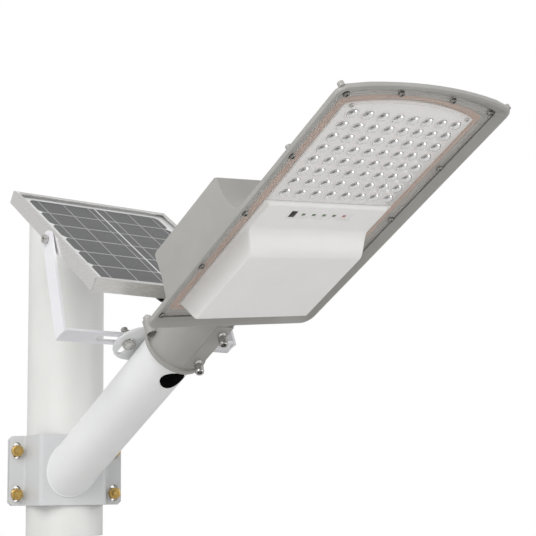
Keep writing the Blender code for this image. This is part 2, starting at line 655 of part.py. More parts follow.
def make_housing():
    outside = [
        (2 * MM, 11 * MM, RIM_LEVEL),
        (0.5 * MM, 12 * MM, RIM_LEVEL + 0.6 * MM),
        (0, 12 * MM, RIM_LEVEL + 1.8 * MM),
        (0, 12 * MM, RIM_TOP),
        (10 * MM, 10 * MM, RIM_TOP + 7.2 * MM),
        (22 * MM, 8 * MM, BACK_LEVEL - 0.8 * MM),
        (26 * MM, 8 * MM, BACK_LEVEL),
    ]
    body = link("lamp_housing", layers("lamp_housing", outside), GREY_CASTING, parent=HEAD_FRAME)
    (back_low, back_high), (front_high, front_low) = BOX_BACK, BOX_FRONT
    profile = [
        (back_low, RIM_TOP + 2 * MM),
        (back_high - 4 * MM, -9 * MM),
        (back_high - MM, BOX_TOP - 2 * MM),
        (back_high + 2 * MM, BOX_TOP),
        (front_high - 3 * MM, BOX_TOP),
        (front_high, BOX_TOP - 2 * MM),
        (front_high - 1.5 * MM, -4 * MM),
        (front_high + MM, -16 * MM),
        (front_high + 6 * MM, -25 * MM),
        (front_low, RIM_TOP + 2 * MM),
    ]
    add(body, side_prism("battery_box", profile, BOX_HALF, BOX_HALF - 2 * MM))
    add(body, rod("hub", NECK_R, -HEAD_BACK - 6 * MM, -NECK_START, 48, "Y"), parent=NECK_FRAME)
    fairing_end = NECK_R - 0.6 * MM
    low, high = -HEAD_BACK - 66 * MM, -HEAD_BACK + 8 * MM
    fairing = rod("hub_fairing", 14 * MM, low, high, 48, "Y", end_radius=fairing_end)
    add(body, fairing, parent=NECK_FRAME)
    add(body, rod("hub_lip", LIP_R, -NECK_START - LIP_LENGTH, -NECK_START, 48, "Y"), parent=NECK_FRAME)
    low, high = (NECK_PAD_X[0], -NECK_PAD_AT[1], NECK_PAD_LEVEL), (NECK_PAD_X[1], -NECK_PAD_AT[0], -20 * MM)
    add(body, block("neck_pad", low, high), parent=ARM_FRAME)
    lug_low, lug_seat, lug_top = NECK_LUG_LEVELS
    lug_centre = (NECK_LUG_X, -NECK_LUG_AT)
    add(body, rod("neck_lug", 6.5 * MM, lug_low, lug_top, 20, centre=lug_centre), parent=ARM_FRAME)
    cut(body, rod("hub_bore", ARM_OD / 2 + GAP, -ARM_END - MM, 0, 48, "Y"), parent=ARM_FRAME)
    for x in (-HEAD_HALF_FRONT + 4 * MM, HEAD_HALF_FRONT - 4 * MM):
        for at in (HEAD_FRONT - 15 * MM, HEAD_FRONT - 93 * MM):
            low, high = RIM_TOP - MM, RIM_TOP + 3.4 * MM
            add(body, rod(f"post_{x:.3f}_{at:.3f}", 3 * MM, low, high, 12, centre=(x, -at)))
    recess = [
        (2.2 * MM, 11 * MM, RIM_LEVEL - 0.8 * MM),
        (RIM_BORDER - 0.7 * MM, 6 * MM, FLANGE_BOTTOM - 0.8 * MM),
        (RIM_BORDER - 0.7 * MM, 6 * MM, FLANGE_SEAT),
    ]
    cut(body, layers("cover_recess", recess))
    cut(body, prism("gasket_groove", head_outline(GROOVE_INSET, 5 * MM), FLANGE_SEAT - MM, GROOVE_LEVEL))
    opening = RIM_BORDER + COVER_OPENING + GAP
    hollow = head_outline(opening, 4 * MM, COVER_AHEAD)
    cut(body, prism("optics_room", hollow, GROOVE_LEVEL - MM, SEAT_LEVEL))
    inside = BOX_HALF - SHELL_WALL - 4 * MM
    room = [
        (back_high + 4 * MM, SEAT_LEVEL - MM),
        (back_high + 8 * MM, BOX_TOP - SHELL_WALL),
        (front_high - 5 * MM, BOX_TOP - SHELL_WALL),
        (front_high - 4.6 * MM, -6 * MM),
        (front_high - 3 * MM, -16 * MM),
        (front_high - 0.5 * MM, SEAT_LEVEL - MM),
    ]
    cut(body, side_prism("battery_room", room, inside - 2 * MM))
    for number, (x, at) in enumerate(screw_places()):
        cut(body, rod(f"cover_screw_hole_{number}", 2.0 * MM, FLANGE_SEAT - MM, FLANGE_SEAT + 4 * MM, 10,
                      centre=(x, -at)))
    for at in NECK_SCREW_AT:
        thread = rod(f"neck_thread_{at:.3f}", 4.2 * MM, -0.05, -0.01, 16, centre=(NECK_SCREW_X, -at))
        cut(body, thread, parent=NECK_FRAME)
    cut(body, rod("lug_hole", 2.8 * MM, 0, 0.05, 12, centre=lug_centre), parent=ARM_FRAME)
    pocket = rod("lug_pocket", 5.7 * MM, lug_low - MM, lug_seat, 20, centre=lug_centre, end_radius=4.7 * MM)
    cut(body, pocket, parent=ARM_FRAME)
    return body


def make_neck_screws():
    """Two socket set screws that press on the arm from below, and a cap screw in the lug beside it."""
    for number, at in enumerate(NECK_SCREW_AT, 1):
        low, high = NECK_SCREW_LEVELS
        profile = [
            (0, high),
            (3 * MM, high),
            (3.9 * MM, high - MM),
            (3.9 * MM, low + 0.6 * MM),
            (3.3 * MM, low),
            (2.3 * MM, low),
            (2.3 * MM, low + 5 * MM),
            (0, low + 5 * MM),
        ]
        turned(f"neck_bolt_{number}", profile, STEEL, 16, parent=NECK_FRAME,
               location=(NECK_SCREW_X, -at, 0))
    seat, end = NECK_LUG_LEVELS[1] - GAP, NECK_LUG_LEVELS[2] + 7.5 * MM
    cap_screw("neck_bolt_3", STEEL, 4.2 * MM, 5 * MM, 5 * MM, end - seat, 2 * MM, parent=ARM_FRAME,
              location=(NECK_LUG_X, -NECK_LUG_AT, seat))


def make_cover():
    opening = RIM_BORDER + COVER_OPENING
    cover = link("optic_cover", prism("optic_cover", head_outline(RIM_BORDER, 6 * MM), FLANGE_BOTTOM,
                                      FLANGE_SEAT - GAP), CLEAR_PLASTIC, parent=HEAD_FRAME)
    cut(cover, prism("cover_opening", head_outline(opening, 4 * MM, COVER_AHEAD), -0.05, 0))
    seal_low, seal_high = FLANGE_SEAT, GROOVE_LEVEL - GAP
    gasket = link("gasket", prism("gasket", head_outline(GROOVE_INSET + GAP, 5 * MM), seal_low, seal_high),
                  SILICONE, parent=HEAD_FRAME)
    hole = head_outline(opening - 0.5 * MM, 4 * MM, COVER_AHEAD)
    cut(gasket, prism("gasket_opening", hole, seal_low - MM, seal_high + MM))
    for number, (x, at) in enumerate(screw_places(), 1):
        cut(cover, rod(f"cover_hole_{number}", 2.4 * MM, -0.05, 0, 10, centre=(x, -at)))
        cap_screw(f"cover_screw_{number}", STEEL, 3.2 * MM, 2.4 * MM, 3.4 * MM, 6.2 * MM, 1.4 * MM,
                  parent=HEAD_FRAME, location=(x, -at, FLANGE_BOTTOM - GAP))


def make_optics():
    opening = RIM_BORDER + COVER_OPENING + GAP
    plate_top = COVER_BOTTOM + COVER_T
    outline = head_outline(opening, 4 * MM, COVER_AHEAD)
    plate = link("lens_plate", prism("lens_plate", outline, COVER_BOTTOM, plate_top),
                 FROSTED, parent=HEAD_FRAME)
    cut(plate, block("lens_plate_end", (-0.2, -LENS_SPLIT - GAP, -0.1), (0.2, 0, 0.1)))
    board = block("led_board", (-77 * MM, -656 * MM, plate_top + GAP), (77 * MM, -538 * MM, SEAT_LEVEL - GAP))
    link("led_board", board, WHITE_BOARD, parent=HEAD_FRAME)


def bulge_profile(inset):
    """The battery cover's side view in (at, level), drawn in by its wall thickness."""
    back = HEAD_BACK + RIM_BORDER + COVER_OPENING + MM + inset
    floor = BULGE_LEVEL + inset
    return [
        (back, COVER_BOTTOM + COVER_T + 2 * inset),
        (back + MM, floor + 5 * MM),
        (back + 5 * MM, floor),
        (475 * MM - inset, floor),
        (483 * MM - inset, floor + 3 * MM),
        (494 * MM - inset, LEDGE_LEVEL + inset),
        (527 * MM - inset, LEDGE_LEVEL + inset),
        (LENS_SPLIT - 2 * MM - inset, COVER_BOTTOM + COVER_T + 2 * inset),
    ]


def make_bulge():
    opening = RIM_BORDER + COVER_OPENING + GAP
    cover = link("battery_cover", prism("battery_cover", head_outline(opening, 4 * MM), COVER_BOTTOM,
                                        COVER_BOTTOM + COVER_T), FROSTED, parent=HEAD_FRAME)
    cut(cover, block("battery_cover_end", (-0.2, -1, -0.1), (0.2, -LENS_SPLIT + GAP, 0.1)))
    low_half, high_half = BULGE_HALF
    shell = side_prism("bulge", bulge_profile(0), high_half, low_half)
    add(cover, shell)
    wall = 2.2 * MM
    room = side_prism("bulge_room", bulge_profile(wall), high_half - wall, low_half - wall)
    cut(cover, room)
    window = (-46.5 * MM, 38.5 * MM)
    slope = (511.5 * MM, 524 * MM)
    cut(cover, block("window_cut", (window[0], -slope[1], -0.05), (window[1], -slope[0], -0.02)))
    pane = block("indicator_window", (window[0] + GAP, -slope[1] + GAP, LEDGE_LEVEL + 0.4 * MM),
                 (window[1] - GAP, -slope[0] - GAP, LEDGE_LEVEL + 2 * MM))
    link("indicator_window", pane, CLEAR_PLASTIC, parent=HEAD_FRAME)
    status = block("status_board", (window[0] - 2 * MM, -slope[1] - 2 * MM, -25.8 * MM),
                   (window[1] + 2 * MM, -slope[0] + 2 * MM, -24.2 * MM))
    link("status_board", status, GREEN_BOARD, parent=HEAD_FRAME)


def make_electronics():
    board = link("controller_board", block("controller_board", (-60 * MM, -470 * MM, -31 * MM),
                                           (60 * MM, -400 * MM, -29.4 * MM)), GREEN_BOARD, parent=HEAD_FRAME)
    for number, (x, at, size, tall) in enumerate(((-30, 440, 12, 7), (10, 430, 16, 9), (38, 450, 9, 6))):
        chip = block(f"component_{number}", (-size * MM / 2, -size * MM / 2, -30 * MM),
                     (size * MM / 2, size * MM / 2, (-29.4 + tall) * MM))
        add(board, chip, location=(x * MM, -at * MM, 0))
    half = BATTERY_HALF
    shape = block("battery_pack", (-half, -500 * MM, -14 * MM), (half, -408 * MM, 12 * MM))
    pack = link("battery_pack", shape, BLUE_WRAP, parent=HEAD_FRAME)
    bevel(pack, 7 * MM, 3)


make_pole()
make_clamp()
make_arm()
make_yoke()
make_panel()
make_housing()
make_neck_screws()
make_cover()
make_optics()
make_bulge()
make_electronics()
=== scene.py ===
"""Looks of the solar street lamp: detailed pieces, materials, studio light and camera."""

import json
from math import atan, cos, pi, radians, sin

import bmesh
import bpy
from mathutils import Matrix, Quaternion, Vector


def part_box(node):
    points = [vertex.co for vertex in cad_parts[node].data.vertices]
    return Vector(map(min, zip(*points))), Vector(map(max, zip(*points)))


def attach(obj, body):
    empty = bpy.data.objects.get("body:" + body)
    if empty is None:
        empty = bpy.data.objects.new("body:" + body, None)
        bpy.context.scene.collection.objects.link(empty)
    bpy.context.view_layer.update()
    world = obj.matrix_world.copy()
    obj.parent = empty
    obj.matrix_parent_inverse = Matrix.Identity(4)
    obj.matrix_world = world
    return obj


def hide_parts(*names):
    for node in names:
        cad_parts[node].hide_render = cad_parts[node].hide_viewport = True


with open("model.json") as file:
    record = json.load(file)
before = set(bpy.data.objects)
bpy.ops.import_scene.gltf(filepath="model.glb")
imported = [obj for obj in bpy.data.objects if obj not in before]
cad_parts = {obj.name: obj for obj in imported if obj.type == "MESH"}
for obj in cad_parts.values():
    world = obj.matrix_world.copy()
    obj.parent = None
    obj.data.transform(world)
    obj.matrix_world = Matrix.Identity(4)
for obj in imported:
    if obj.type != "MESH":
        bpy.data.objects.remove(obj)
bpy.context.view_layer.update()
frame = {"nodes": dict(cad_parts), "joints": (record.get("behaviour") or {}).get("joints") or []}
MM = 0.001

# ---- frames of the CAD groups -------------------------------------------------------------------

ARM_RISE = radians(29.55)
HEAD_JOINT = next(joint for joint in frame["joints"] if joint["name"] == "head_turn")
PANEL_JOINT = next(joint for joint in frame["joints"] if joint["name"] == "panel_tilt")
ARM_ALONG = Vector((0, -cos(ARM_RISE), sin(ARM_RISE)))
HEAD_PIVOT = 300 * MM
CLAMP_HEIGHT, CLAMP_TURN = 79.5 * MM, -17.8
HEAD_ROLL, HEAD_PITCH = -7, 0.75
NECK_TURN = 13
PANEL_TURN = 34.65
ARM_ORIGIN = Vector(HEAD_JOINT["pos_m"]) - ARM_ALONG * HEAD_PIVOT


def turn(angle, axis):
    return Matrix.Rotation(radians(angle), 4, axis)


def move(x, y, z):
    return Matrix.Translation((x, y, z))


WORLD = Matrix.Identity(4)
CLAMP = move(0, 0, CLAMP_HEIGHT) @ turn(CLAMP_TURN, "Z")
ARM = Matrix.Translation(ARM_ORIGIN) @ Matrix.Rotation(-ARM_RISE, 4, "X")
HEAD = ARM @ move(0, -HEAD_PIVOT, 0) @ turn(HEAD_ROLL, "Y") @ turn(HEAD_PITCH, "X")
HEAD = HEAD @ move(0, HEAD_PIVOT, 0)
NECK = ARM @ turn(NECK_TURN, "Y")
PANEL = Matrix.Translation(PANEL_JOINT["pos_m"]) @ turn(PANEL_TURN, "X")

# ---- materials ----------------------------------------------------------------------------------


class Shader:
    """A Principled material with its colour, roughness and bump made by noise in object space."""

    def __init__(self, name, colour, roughness, **sockets):
        self.material = bpy.data.materials.new(name)
        self.material.use_nodes = True
        self.nodes = self.material.node_tree.nodes
        self.links = self.material.node_tree.links
        self.body = self.nodes["Principled BSDF"]
        self.colour = colour
        self.roughness = roughness
        self.set("Base Color", (*colour, 1))
        self.set("Roughness", roughness)
        for socket, value in sockets.items():
            self.set(socket.replace("_", " "), value)
        self.place = self.nodes.new("ShaderNodeTexCoord").outputs["Object"]

    def set(self, socket, value):
        self.body.inputs[socket].default_value = value

    def node(self, kind, **settings):
        made = self.nodes.new(kind)
        for key, value in settings.items():
            setattr(made, key, value)
        return made

    def mapped(self, scale=(1, 1, 1), rotation=(0, 0, 0)):
        mapping = self.node("ShaderNodeMapping")
        mapping.inputs["Scale"].default_value = scale
        mapping.inputs["Rotation"].default_value = rotation
        self.links.new(self.place, mapping.inputs["Vector"])
        return mapping.outputs["Vector"]

    def noise(self, scale, detail=3, where=None):
        made = self.node("ShaderNodeTexNoise")
        made.inputs["Scale"].default_value = scale
        made.inputs["Detail"].default_value = detail
        self.links.new(where or self.place, made.inputs["Vector"])
        return made.outputs["Fac"]

    def ramp(self, value, low, high, start=0.35, end=0.65):
        """Maps a value onto colours, or onto greys when low and high are numbers."""
        made = self.node("ShaderNodeValToRGB")
        low, high = [(x, x, x) if isinstance(x, (int, float)) else x for x in (low, high)]
        first, last = made.color_ramp.elements
        first.position, last.position = start, end
        first.color, last.color = (*low, 1), (*high, 1)
        self.links.new(value, made.inputs["Fac"])
        return made.outputs["Color"]

    def vary_colour(self, value, amount=0.04, tint=(1, 1, 1)):
        low = tuple(c * (1 - amount) for c in self.colour)
        high = tuple(min(1, c * (1 + amount) * t) for c, t in zip(self.colour, tint))
        self.links.new(self.ramp(value, low, high), self.body.inputs["Base Color"])
        return self

    def vary_roughness(self, value, amount=0.06):
        low, high = max(0, self.roughness - amount), self.roughness + amount
        self.links.new(self.ramp(value, low, high), self.body.inputs["Roughness"])
        return self

    def bump(self, value, depth, strength=1.0):
        made = self.node("ShaderNodeBump")
        made.inputs["Distance"].default_value = depth
        made.inputs["Strength"].default_value = strength
        self.links.new(value, made.inputs["Height"])
        self.links.new(made.outputs["Normal"], self.body.inputs["Normal"])
        return self


def powder_coat(name, colour, roughness=0.38):
    made = Shader(name, colour, roughness, Coat_Weight=0.15, Coat_Roughness=0.25)
    made.vary_colour(made.noise(14, 4), 0.018)
    made.vary_roughness(made.noise(60), 0.05)
    return made.bump(made.noise(650, 2), 0.00006, 0.5).material


def cast_paint(name, colour, roughness=0.5):
    made = Shader(name, colour, roughness)
    made.vary_colour(made.noise(30, 5), 0.035)
    made.vary_roughness(made.noise(90), 0.06)
    return made.bump(made.noise(1500, 4), 0.00008, 0.7).material


def metal(name, colour, roughness, grain=900, depth=0.00002):
    made = Shader(name, colour, roughness, Metallic=1.0)
    made.vary_colour(made.noise(120, 4), 0.1)
    made.vary_roughness(made.noise(400, 4), 0.08)
    return made.bump(made.noise(grain, 3), depth, 0.6).material


def brushed(name, colour, roughness, rotation, scale):
    made = Shader(name, colour, roughness, Metallic=1.0, Anisotropic=0.4)
    streaks = made.noise(1, 5, made.mapped(scale, rotation))
    made.vary_colour(streaks, 0.015)
    made.vary_roughness(made.noise(1, 4, made.mapped(scale, rotation)), 0.05)
    return made.bump(streaks, 0.00001, 0.35).material


def plastic(name, colour, roughness, grain=1200, depth=0.00003, vary=0.03, **sockets):
    made = Shader(name, colour, roughness, **sockets)
    made.vary_colour(made.noise(25, 4), vary)
    made.vary_roughness(made.noise(200), 0.04)
    return made.bump(made.noise(grain, 3), depth, 0.5).material


POLE_PAINT = powder_coat("pole_paint", (0.80, 0.80, 0.78), 0.42)
ARM_PAINT = powder_coat("arm_paint", (0.88, 0.885, 0.885), 0.35)
CLAMP_PAINT = powder_coat("clamp_paint", (0.66, 0.67, 0.675), 0.38)
YOKE_PAINT = powder_coat("yoke_paint", (0.84, 0.835, 0.87), 0.35)
CASTING = cast_paint("grey_casting", (0.385, 0.38, 0.36), 0.42)
ZINC = metal("yellow_zinc", (0.60, 0.40, 0.13), 0.28)
DARK_STEEL = metal("cover_screw_steel", (0.30, 0.29, 0.275), 0.2)
STEEL = metal("machined_steel", (0.62, 0.61, 0.59), 0.26)
ACROSS_RAILS = (radians(-PANEL_TURN), 0, 0)
ALUMINIUM = brushed("panel_aluminium", (0.84, 0.83, 0.815), 0.24, ACROSS_RAILS, (30, 30, 2500))
BLACK = plastic("black_plastic", (0.012, 0.012, 0.012), 0.42, 900, 0.00006, 0.2)
# Painted shade: a near-black, barely reflective finish for the plug flush with the arm, standing for the
# dark inside of the cable hole.
CABLE_HOLE_PAINTED_SHADE = plastic("cable_hole_painted_shade", (0.002, 0.002, 0.002), 0.95, 500, 0.00002, 0.3,
                     Specular_IOR_Level=0.02)
BACKSHEET = plastic("white_backsheet", (0.78, 0.78, 0.78), 0.35)
SILVER = metal("silver_print", (0.85, 0.85, 0.85), 0.4, 1500)
CORD = plastic("orange_cord", (0.86, 0.42, 0.25), 0.4, 700, 0.00003, 0.06, Subsurface_Weight=0.15)
SILICONE = plastic("orange_silicone", (0.60, 0.33, 0.22), 0.5, 700, 0.00005, 0.08, Subsurface_Weight=0.2)
PLATE = plastic("lens_plate_plastic", (0.90, 0.875, 0.865), 0.24, 500, 0.00004, 0.015, Coat_Weight=0.4)
FROSTED = plastic("frosted_cover", (0.92, 0.91, 0.895), 0.34, 240, 0.00001, 0.01, Coat_Weight=0.25)
CLEAR = plastic("clear_cover", (0.82, 0.79, 0.76), 0.14, 150, 0.00003, 0.01, Alpha=0.22, IOR=1.5)
LENS = plastic("lens_clear", (0.97, 0.97, 0.97), 0.04, 300, 0.00002, 0.01,
               Transmission_Weight=1.0, IOR=1.49)
LED_DARK = plastic("led_chip", (0.045, 0.042, 0.038), 0.3)
WHITE_BOARD = plastic("white_solder_mask", (0.82, 0.82, 0.81), 0.35)
GREEN_BOARD = plastic("green_solder_mask", (0.03, 0.20, 0.07), 0.35, 400, 0.00008, 0.12)
WRAP = plastic("battery_shrink_wrap", (0.03, 0.08, 0.30), 0.3, 90, 0.0004, 0.1)
RED_MARK = plastic("red_mark", (0.50, 0.20, 0.17), 0.3)
GREEN_MARK = plastic("green_mark", (0.15, 0.21, 0.12), 0.3)
GLASS = plastic("panel_glass", (0.95, 0.97, 0.97), 0.06, 400, 0.00001, 0.01,
                Alpha=0.05, Specular_IOR_Level=0.25)


def cell_material():
    """Dark silicon with fine contact fingers across each cell."""
    made = Shader("silicon_cells", (0.055, 0.055, 0.057), 0.35, Specular_IOR_Level=0.12)
    grain = made.noise(260, 5)
    fingers = made.node("ShaderNodeTexWave", wave_type="BANDS", bands_direction="Y")
    fingers.inputs["Scale"].default_value = 190
    made.links.new(made.mapped(rotation=ACROSS_RAILS), fingers.inputs["Vector"])
    base = made.ramp(grain, (0.030, 0.030, 0.032), (0.052, 0.051, 0.052), 0.3, 0.7)
    lines = made.ramp(fingers.outputs["Fac"], 0.0, 1.0, 0.86, 0.97)
    mix = made.node("ShaderNodeMix", data_type="RGBA")
    mix.inputs["B"].default_value = (0.16, 0.16, 0.165, 1)
    for value, socket in ((lines, "Factor"), (base, "A")):
        made.links.new(value, mix.inputs[socket])
    made.links.new(mix.outputs["Result"], made.body.inputs["Base Color"])
    return made.bump(grain, 0.00001, 0.4).material


CELLS = cell_material()

# ---- making pieces ------------------------------------------------------------------------------


def piece(name, shape, finish, body, replaces=(), sharp=35):
    """A bmesh or mesh in world coordinates, made into a piece that rides on a CAD body."""
    if isinstance(shape, bmesh.types.BMesh):
        mesh = bpy.data.meshes.new(name)
        shape.to_mesh(mesh)
        shape.free()
    else:
        mesh = shape
    mesh.materials.clear()
    for part in finish if isinstance(finish, (list, tuple)) else [finish]:
        mesh.materials.append(part)
    mesh.shade_smooth()
    mesh.set_sharp_from_angle(angle=radians(sharp))
    obj = bpy.data.objects.new(name, mesh)
    bpy.context.scene.collection.objects.link(obj)
    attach(obj, body)
    if replaces:
        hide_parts(*replaces)
    return obj


def paint(node, finish):
    """Gives its finish to a CAD node that stays as it is."""
    mesh = frame["nodes"][node].data
    mesh.materials.clear()
    mesh.materials.append(finish)


def applied(mesh, *steps):
    """The mesh after modifiers, each given as (type, settings)."""
    obj = bpy.data.objects.new("work", mesh)
    bpy.context.scene.collection.objects.link(obj)
    for kind, settings in steps:
        step = obj.modifiers.new(kind.lower(), kind)
        for key, value in settings.items():
            setattr(step, key, value)
    bpy.context.view_layer.update()
    made = bpy.data.meshes.new_from_object(obj.evaluated_get(bpy.context.evaluated_depsgraph_get()))
    bpy.data.objects.remove(obj)
    return made


def rounded_copy(node, width, segments=2, angle=25):
    """A CAD node's mesh with its edges rounded."""
    shape = bmesh.new()
    shape.from_mesh(frame["nodes"][node].data)
    bmesh.ops.remove_doubles(shape, verts=shape.verts, dist=2e-6)
    bmesh.ops.dissolve_limit(shape, angle_limit=radians(0.6), verts=shape.verts, edges=shape.edges)
    for face in shape.faces:
        face.smooth = True
    mesh = bpy.data.meshes.new(node)
    shape.to_mesh(mesh)
    shape.free()
    bevel = {"width": width, "segments": segments, "limit_method": "ANGLE", "angle_limit": radians(angle)}
    return applied(mesh, ("BEVEL", bevel), ("WEIGHTED_NORMAL", {"keep_sharp": True}))


def lathe(profile, matrix, steps=96, closed=True):
    """A profile of (radius, height) turned about the matrix's Z axis."""
    shape = bmesh.new()
    rings = []
    for radius, height in profile:
        if radius < 1e-7:
            rings.append([shape.verts.new((0, 0, height))])
            continue
        angles = [2 * pi * i / steps for i in range(steps)]
        rings.append([shape.verts.new((radius * cos(a), radius * sin(a), height)) for a in angles])
    pairs = list(zip(rings, rings[1:]))
    if closed:
        pairs.append((rings[-1], rings[0]))
    for low, high in pairs:
        for i in range(steps):
            j = (i + 1) % steps
            corners = [low[i % len(low)], low[j % len(low)], high[j % len(high)], high[i % len(high)]]
            corners = list(dict.fromkeys(corners))
            if len(corners) > 2:
                shape.faces.new(corners)
    bmesh.ops.recalc_face_normals(shape, faces=shape.faces)
    shape.transform(matrix)
    return shape


def joined(*shapes):
    """Several bmeshes as one."""
    whole = bmesh.new()
    for shape in shapes:
        mesh = bpy.data.meshes.new("part")
        shape.to_mesh(mesh)
        shape.free()
        whole.from_mesh(mesh)
        bpy.data.meshes.remove(mesh)
    return whole


def box(low, high, matrix, edge=0.0, segments=2):
    """A box between two corners, with its edges rounded when edge is given."""
    shape = bmesh.new()
    bmesh.ops.create_cube(shape, size=1)
    low, high = Vector(low), Vector(high)
    bmesh.ops.scale(shape, verts=shape.verts, vec=high - low)
    bmesh.ops.translate(shape, verts=shape.verts, vec=(high + low) / 2)
    if edge:
        bmesh.ops.bevel(
            shape, geom=shape.edges, offset=edge, segments=segments, affect="EDGES", profile=0.5
        )
    shape.transform(matrix)
    return shape


def tube(path, radius, matrix=WORLD, sides=8, closed=True):
    """A round bead along a path of points."""
    shape = bmesh.new()
    count = len(path)
    rings = []
    up = None
    for i, point in enumerate(path):
        point = Vector(point)
        before = Vector(path[i - 1]) if i or closed else point
        after = Vector(path[(i + 1) % count]) if i + 1 < count or closed else point
        along = (after - before).normalized()
        if up is None:
            up = along.orthogonal().normalized()
        side = along.cross(up).normalized()
        up = side.cross(along).normalized()
        ring = []
        for k in range(sides):
            a = 2 * pi * k / sides
            ring.append(shape.verts.new(point + (side * cos(a) + up * sin(a)) * radius))
        rings.append(ring)
    last = count if closed else count - 1
    for i in range(last):
        low, high = rings[i], rings[(i + 1) % count]
        shift = 0
        if i + 1 == count:
            shift = min(range(sides), key=lambda k: (high[k].co - low[0].co).length)
        for k in range(sides):
            m = (k + 1) % sides
            shape.faces.new([low[k], low[m], high[(m + shift) % sides], high[(k + shift) % sides]])
    if not closed:
        shape.faces.new(rings[0])
        shape.faces.new(rings[-1])
    bmesh.ops.recalc_face_normals(shape, faces=shape.faces)
    shape.transform(matrix)
    return shape


# ---- fasteners ----------------------------------------------------------------------------------


def hex_body(across, low, high, matrix, bore=0.0, steps=48, both=True):
    """A hexagon with chamfered faces, and a bore if it is a nut."""
    flat = across / 2
    tip = flat * 0.97
    outer = []
    for i in range(steps):
        a = 2 * pi * i / steps
        radius = flat / cos((a + pi / 6) % (pi / 3) - pi / 6)
        drop = max(0.0, radius - tip) * 0.55
        outer.append((a, radius, drop))
    rings = []
    shape = bmesh.new()
    for height, sign, chamfer in ((low, 1, both), (low, 1, None), (high, -1, None), (high, -1, True)):
        ring = []
        for a, radius, drop in outer:
            if chamfer is None:
                r, z = radius, height + sign * drop * (1 if sign < 0 or both else 0)
            else:
                r, z = (min(radius, tip) if chamfer else radius * 0.999), height
            ring.append(shape.verts.new((r * cos(a), r * sin(a), z)))
        rings.append(ring)
    if bore:
        for height in (high, low):
            rings.append([shape.verts.new((bore * cos(a), bore * sin(a), height)) for a, _, _ in outer])
    pairs = list(zip(rings, rings[1:]))
    if bore:
        pairs.append((rings[-1], rings[0]))
    for first, second in pairs:
        for i in range(steps):
            j = (i + 1) % steps
            shape.faces.new([first[i], first[j], second[j], second[i]])
    if not bore:
        shape.faces.new(rings[0])
        shape.faces.new(rings[-1])
    bmesh.ops.recalc_face_normals(shape, faces=shape.faces)
    shape.transform(matrix)
    return shape


def threaded(radius, low, high, matrix, pitch=1.25 * MM, steps=32, from_low=0.0):
    """A shank with a run of thread up to its chamfered end."""
    depth = 0.28 * pitch * 1.6
    profile = [(0, low), (radius, low)]
    z = low + from_low
    while z < high - 1.6 * pitch:
        profile += [(radius, z + 0.1 * pitch), (radius - depth, z + 0.55 * pitch)]
        z += pitch
    profile += [(radius, z + 0.1 * pitch), (radius, high - 0.9 * pitch)]
    profile += [(radius - 0.8 * pitch, high), (0, high)]
    return lathe(profile, matrix, steps, closed=False)


def washer(inner, outer, low, high, matrix, steps=48):
    """A flat ring about the matrix's Z axis."""
    return lathe([(inner, low), (outer, low), (outer, high), (inner, high)], matrix, steps)


def bolt_frame(group, x, y, z, *turns):
    """Where a fastener sits in a group: a place, then turns of (degrees, axis)."""
    made = group @ move(x, y, z)
    for angle, axis in turns:
        made = made @ turn(angle, axis)
    return made


# ---- pole and clamp -----------------------------------------------------------------------------

POLE_R, POLE_WALL = 47 * MM, 3 * MM
POLE_LOW, POLE_HIGH = [corner.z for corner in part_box("pole_tube")]


def make_pole():
    edge = 0.5 * MM
    inner = POLE_R - POLE_WALL
    rows = [POLE_LOW + (POLE_HIGH - POLE_LOW) * i / 12 for i in range(1, 12)]
    outside = [(POLE_R - edge, POLE_LOW), (POLE_R, POLE_LOW + edge)]
    outside += [(POLE_R, z) for z in rows]
    outside += [(POLE_R, POLE_HIGH - edge), (POLE_R - edge, POLE_HIGH)]
    inside = [(inner + edge, POLE_HIGH), (inner, POLE_HIGH - edge)]
    inside += [(inner, POLE_LOW + edge), (inner + edge, POLE_LOW)]
    shell = lathe(outside + inside, WORLD, 128)
    piece("pole_shell", shell, POLE_PAINT, "pole", ["pole_tube"])
    low, high = [corner.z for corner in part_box("pole_cap")]
    rim = POLE_R - 0.2 * MM
    plug = inner - 0.3 * MM
    top = [(0, high), (20 * MM, high), (rim - 2.5 * MM, high - 0.2 * MM), (rim - 0.7 * MM, high - 0.9 * MM)]
    top += [(rim, high - 1.8 * MM), (rim, POLE_HIGH + 0.3 * MM)]
    below = [(plug, POLE_HIGH + 0.3 * MM)]
    for i in range(5):
        z = POLE_HIGH - (1.5 + 2.4 * i) * MM
        below += [(plug - 0.5 * MM, z), (plug, z - 0.6 * MM), (plug - 0.5 * MM, z - 1.4 * MM)]
    below += [(plug - 0.5 * MM, low), (plug - 2 * MM, low), (plug - 2 * MM, POLE_HIGH), (0, POLE_HIGH)]
    cap = lathe(top + below, WORLD, 96, closed=False)
    piece("pole_end_cap", cap, BLACK, "pole", ["pole_cap"])


CLAMP_BOLT_X = 60.5 * MM
CLAMP_BOLT_HEIGHTS = (-28.5 * MM, 24 * MM)
CLAMP_SEAT = 8.3 * MM
M8_RADIUS, M8_ACROSS, M8_BORE = 3.95 * MM, 13 * MM, 4.1 * MM


